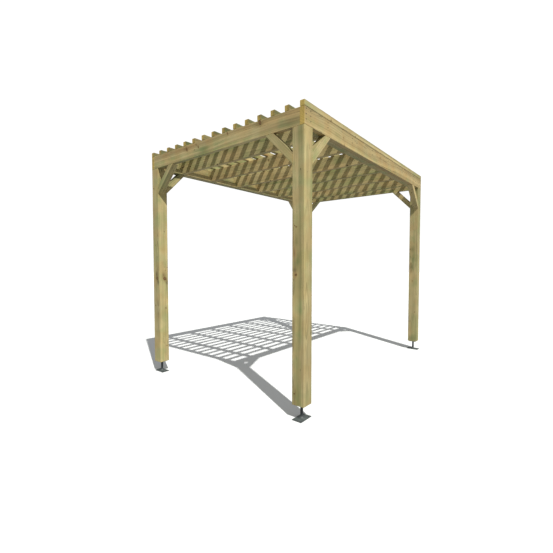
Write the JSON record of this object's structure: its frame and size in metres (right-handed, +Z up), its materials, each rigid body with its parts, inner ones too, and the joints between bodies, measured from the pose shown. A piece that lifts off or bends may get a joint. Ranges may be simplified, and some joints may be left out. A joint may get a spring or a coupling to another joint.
{
  "type": "timber garden pergola",
  "caption": "Open timber pergola with square posts on steel feet, knee braces, cross joists on side ledgers and a roof of long battens.",
  "frame": {"origin": "middle of the footprint, on the ground", "axes": "+X to the right seen from the front, +Y from the front to the rear along the battens, +Z up"},
  "size_m": [2.125, 3.035, 2.505],
  "materials": {
    "treated_pine": "pressure-treated softwood, planed, matt",
    "foot_steel": "dark grey-green, satin"
  },
  "bodies": {
    "root": {"foot_front_left": "foot_steel", "foot_front_right": "foot_steel", "foot_rear_left": "foot_steel", "foot_rear_right": "foot_steel", "post_front_left": "treated_pine", "post_front_right": "treated_pine", "post_rear_left": "treated_pine", "post_rear_right": "treated_pine", "beam_front": "treated_pine", "beam_rear": "treated_pine", "beam_left": "treated_pine", "beam_right": "treated_pine", "ledger_left": "treated_pine", "ledger_right": "treated_pine", "joist_1": "treated_pine", "joist_2": "treated_pine", "joist_3": "treated_pine", "joist_4": "treated_pine", "joist_5": "treated_pine", "joist_6": "treated_pine", "batten_1": "treated_pine", "batten_2": "treated_pine", "batten_3": "treated_pine", "batten_4": "treated_pine", "batten_5": "treated_pine", "batten_6": "treated_pine", "batten_7": "treated_pine", "batten_8": "treated_pine", "batten_9": "treated_pine", "batten_10": "treated_pine", "batten_11": "treated_pine", "batten_12": "treated_pine", "batten_13": "treated_pine", "batten_14": "treated_pine", "batten_15": "treated_pine", "end_brace_front_left": "treated_pine", "end_brace_front_right": "treated_pine", "end_brace_rear_left": "treated_pine", "end_brace_rear_right": "treated_pine", "side_brace_front_left": "treated_pine", "side_brace_front_right": "treated_pine", "side_brace_rear_left": "treated_pine", "side_brace_rear_right": "treated_pine"}
  },
  "joints": []
}
